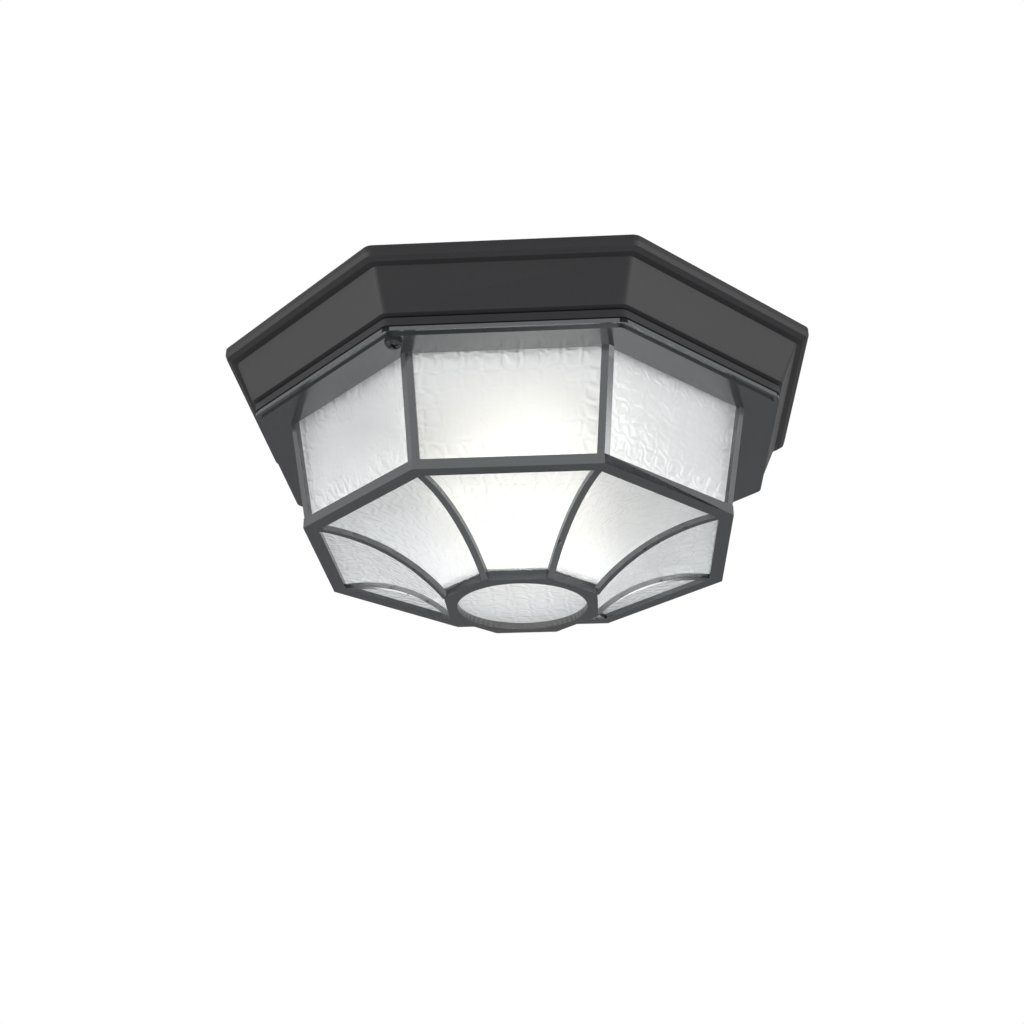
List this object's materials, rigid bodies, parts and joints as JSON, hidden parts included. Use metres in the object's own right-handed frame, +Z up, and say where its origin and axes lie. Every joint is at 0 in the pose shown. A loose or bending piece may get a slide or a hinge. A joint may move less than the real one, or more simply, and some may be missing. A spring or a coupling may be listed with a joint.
{
  "type": "porch ceiling lantern",
  "caption": "Octagonal flush ceiling lantern: a stepped cast canopy over a leaning glazed cage with a curved glazed bowl and bottom ring, lit by screw-in lamps inside.",
  "frame": {"origin": "Centre of the ceiling plane: the middle of the canopy's top rim and of the mounting strap's top face.", "axes": "+Z points up into the ceiling and the lantern hangs towards -Z; one flat of the octagon faces -Y (the side nearest the camera in the picture), +X is to the right of it."},
  "size_m": [0.292, 0.292, 0.1202],
  "materials": {
    "canopy_coat": "cast, matte black powder coat with a fine texture",
    "cage_coat": "cast, semi-gloss black coat",
    "screw_black": "black oxide",
    "washer_rubber": "matte",
    "black_rubber": "closed-cell foam",
    "zinc_steel": "zinc plated",
    "nut_steel": "polished",
    "green_screw": "green dyed",
    "mineral_wool": "loose fibre mat",
    "white_enamel": "gloss white enamel",
    "porcelain": "glazed porcelain",
    "shell_brass": "bright",
    "lamp_glass": "inside frosted, lit",
    "lamp_cap": "bright",
    "lamp_insulator": "black vitrite and solder",
    "pane_glass": "clear with water ripples"
  },
  "bodies": {
    "canopy": {"canopy": "canopy_coat", "ceiling_gasket": "black_rubber", "mounting_strap": "zinc_steel", "mounting_studs": "zinc_steel", "cap_nuts": "nut_steel", "ground_screw": "green_screw", "insulation_pad": "mineral_wool", "wire_bushing": "black_rubber", "reflector_plate": "white_enamel", "left_socket_bracket": "zinc_steel", "right_socket_bracket": "zinc_steel", "bracket_screws": "zinc_steel", "left_socket": "porcelain", "right_socket": "porcelain", "left_screw_shell": "shell_brass", "right_screw_shell": "shell_brass", "left_centre_contact": "shell_brass", "right_centre_contact": "shell_brass", "socket_screws": "zinc_steel"},
    "cage": {"cage": "cage_coat", "cage_gasket": "black_rubber", "side_pane_1": "pane_glass", "side_pane_2": "pane_glass", "side_pane_3": "pane_glass", "side_pane_4": "pane_glass", "side_pane_5": "pane_glass", "side_pane_6": "pane_glass", "side_pane_7": "pane_glass", "side_pane_8": "pane_glass", "bowl_pane_1": "pane_glass", "bowl_pane_2": "pane_glass", "bowl_pane_3": "pane_glass", "bowl_pane_4": "pane_glass", "bowl_pane_5": "pane_glass", "bowl_pane_6": "pane_glass", "bowl_pane_7": "pane_glass", "bowl_pane_8": "pane_glass", "bottom_pane": "pane_glass", "pane_clips": "zinc_steel", "clip_screws": "zinc_steel"},
    "left_lamp_foot": {"left_lamp_eyelet": "lamp_insulator"},
    "left_lamp": {"left_bulb": "lamp_glass", "left_lamp_cap": "lamp_cap"},
    "right_lamp_foot": {"right_lamp_eyelet": "lamp_insulator"},
    "right_lamp": {"right_bulb": "lamp_glass", "right_lamp_cap": "lamp_cap"},
    "front_washer": {"front_screw_washer": "washer_rubber"},
    "front_screw": {"front_cage_screw": "screw_black"},
    "rear_washer": {"rear_screw_washer": "washer_rubber"},
    "rear_screw": {"rear_cage_screw": "screw_black"}
  },
  "joints": [
    {"name": "cage_drop", "type": "slide", "parent": "canopy", "child": "cage", "axis": [0, 0, -1], "range_m": [0, 0.08]},
    {"name": "left_lamp_travel", "type": "slide", "parent": "canopy", "child": "left_lamp_foot", "axis": [1, 0, 0], "range_m": [0, 0.01816]},
    {"name": "left_lamp_turn", "type": "hinge", "parent": "left_lamp_foot", "child": "left_lamp", "pos_m": [-0.07, -0.033, -0.064], "axis": [1, 0, 0], "range_deg": [0, 1800]},
    {"name": "right_lamp_travel", "type": "slide", "parent": "canopy", "child": "right_lamp_foot", "axis": [-1, 0, 0], "range_m": [0, 0.01816]},
    {"name": "right_lamp_turn", "type": "hinge", "parent": "right_lamp_foot", "child": "right_lamp", "pos_m": [0.07, 0.033, -0.064], "axis": [-1, 0, 0], "range_deg": [0, 1800]},
    {"name": "front_screw_travel", "type": "slide", "parent": "cage", "child": "front_washer", "axis": [0, 0, -1], "range_m": [0, 0.0084]},
    {"name": "front_screw_turn", "type": "hinge", "parent": "front_washer", "child": "front_screw", "pos_m": [-0.05067, -0.12232, -0.0377], "axis": [0, 0, -1], "range_deg": [0, 4320]},
    {"name": "rear_screw_travel", "type": "slide", "parent": "cage", "child": "rear_washer", "axis": [0, 0, -1], "range_m": [0, 0.0084]},
    {"name": "rear_screw_turn", "type": "hinge", "parent": "rear_washer", "child": "rear_screw", "pos_m": [0.05067, 0.12232, -0.0377], "axis": [0, 0, -1], "range_deg": [0, 4320]}
  ],
  "couplings": [
    {"joint": "left_lamp_travel", "follows": "left_lamp_turn", "m_per_rad": 0.00057773},
    {"joint": "right_lamp_travel", "follows": "right_lamp_turn", "m_per_rad": 0.00057773},
    {"joint": "front_screw_turn", "follows": "front_screw_travel", "rad_per_m": 8976},
    {"joint": "rear_screw_turn", "follows": "rear_screw_travel", "rad_per_m": 8976}
  ]
}
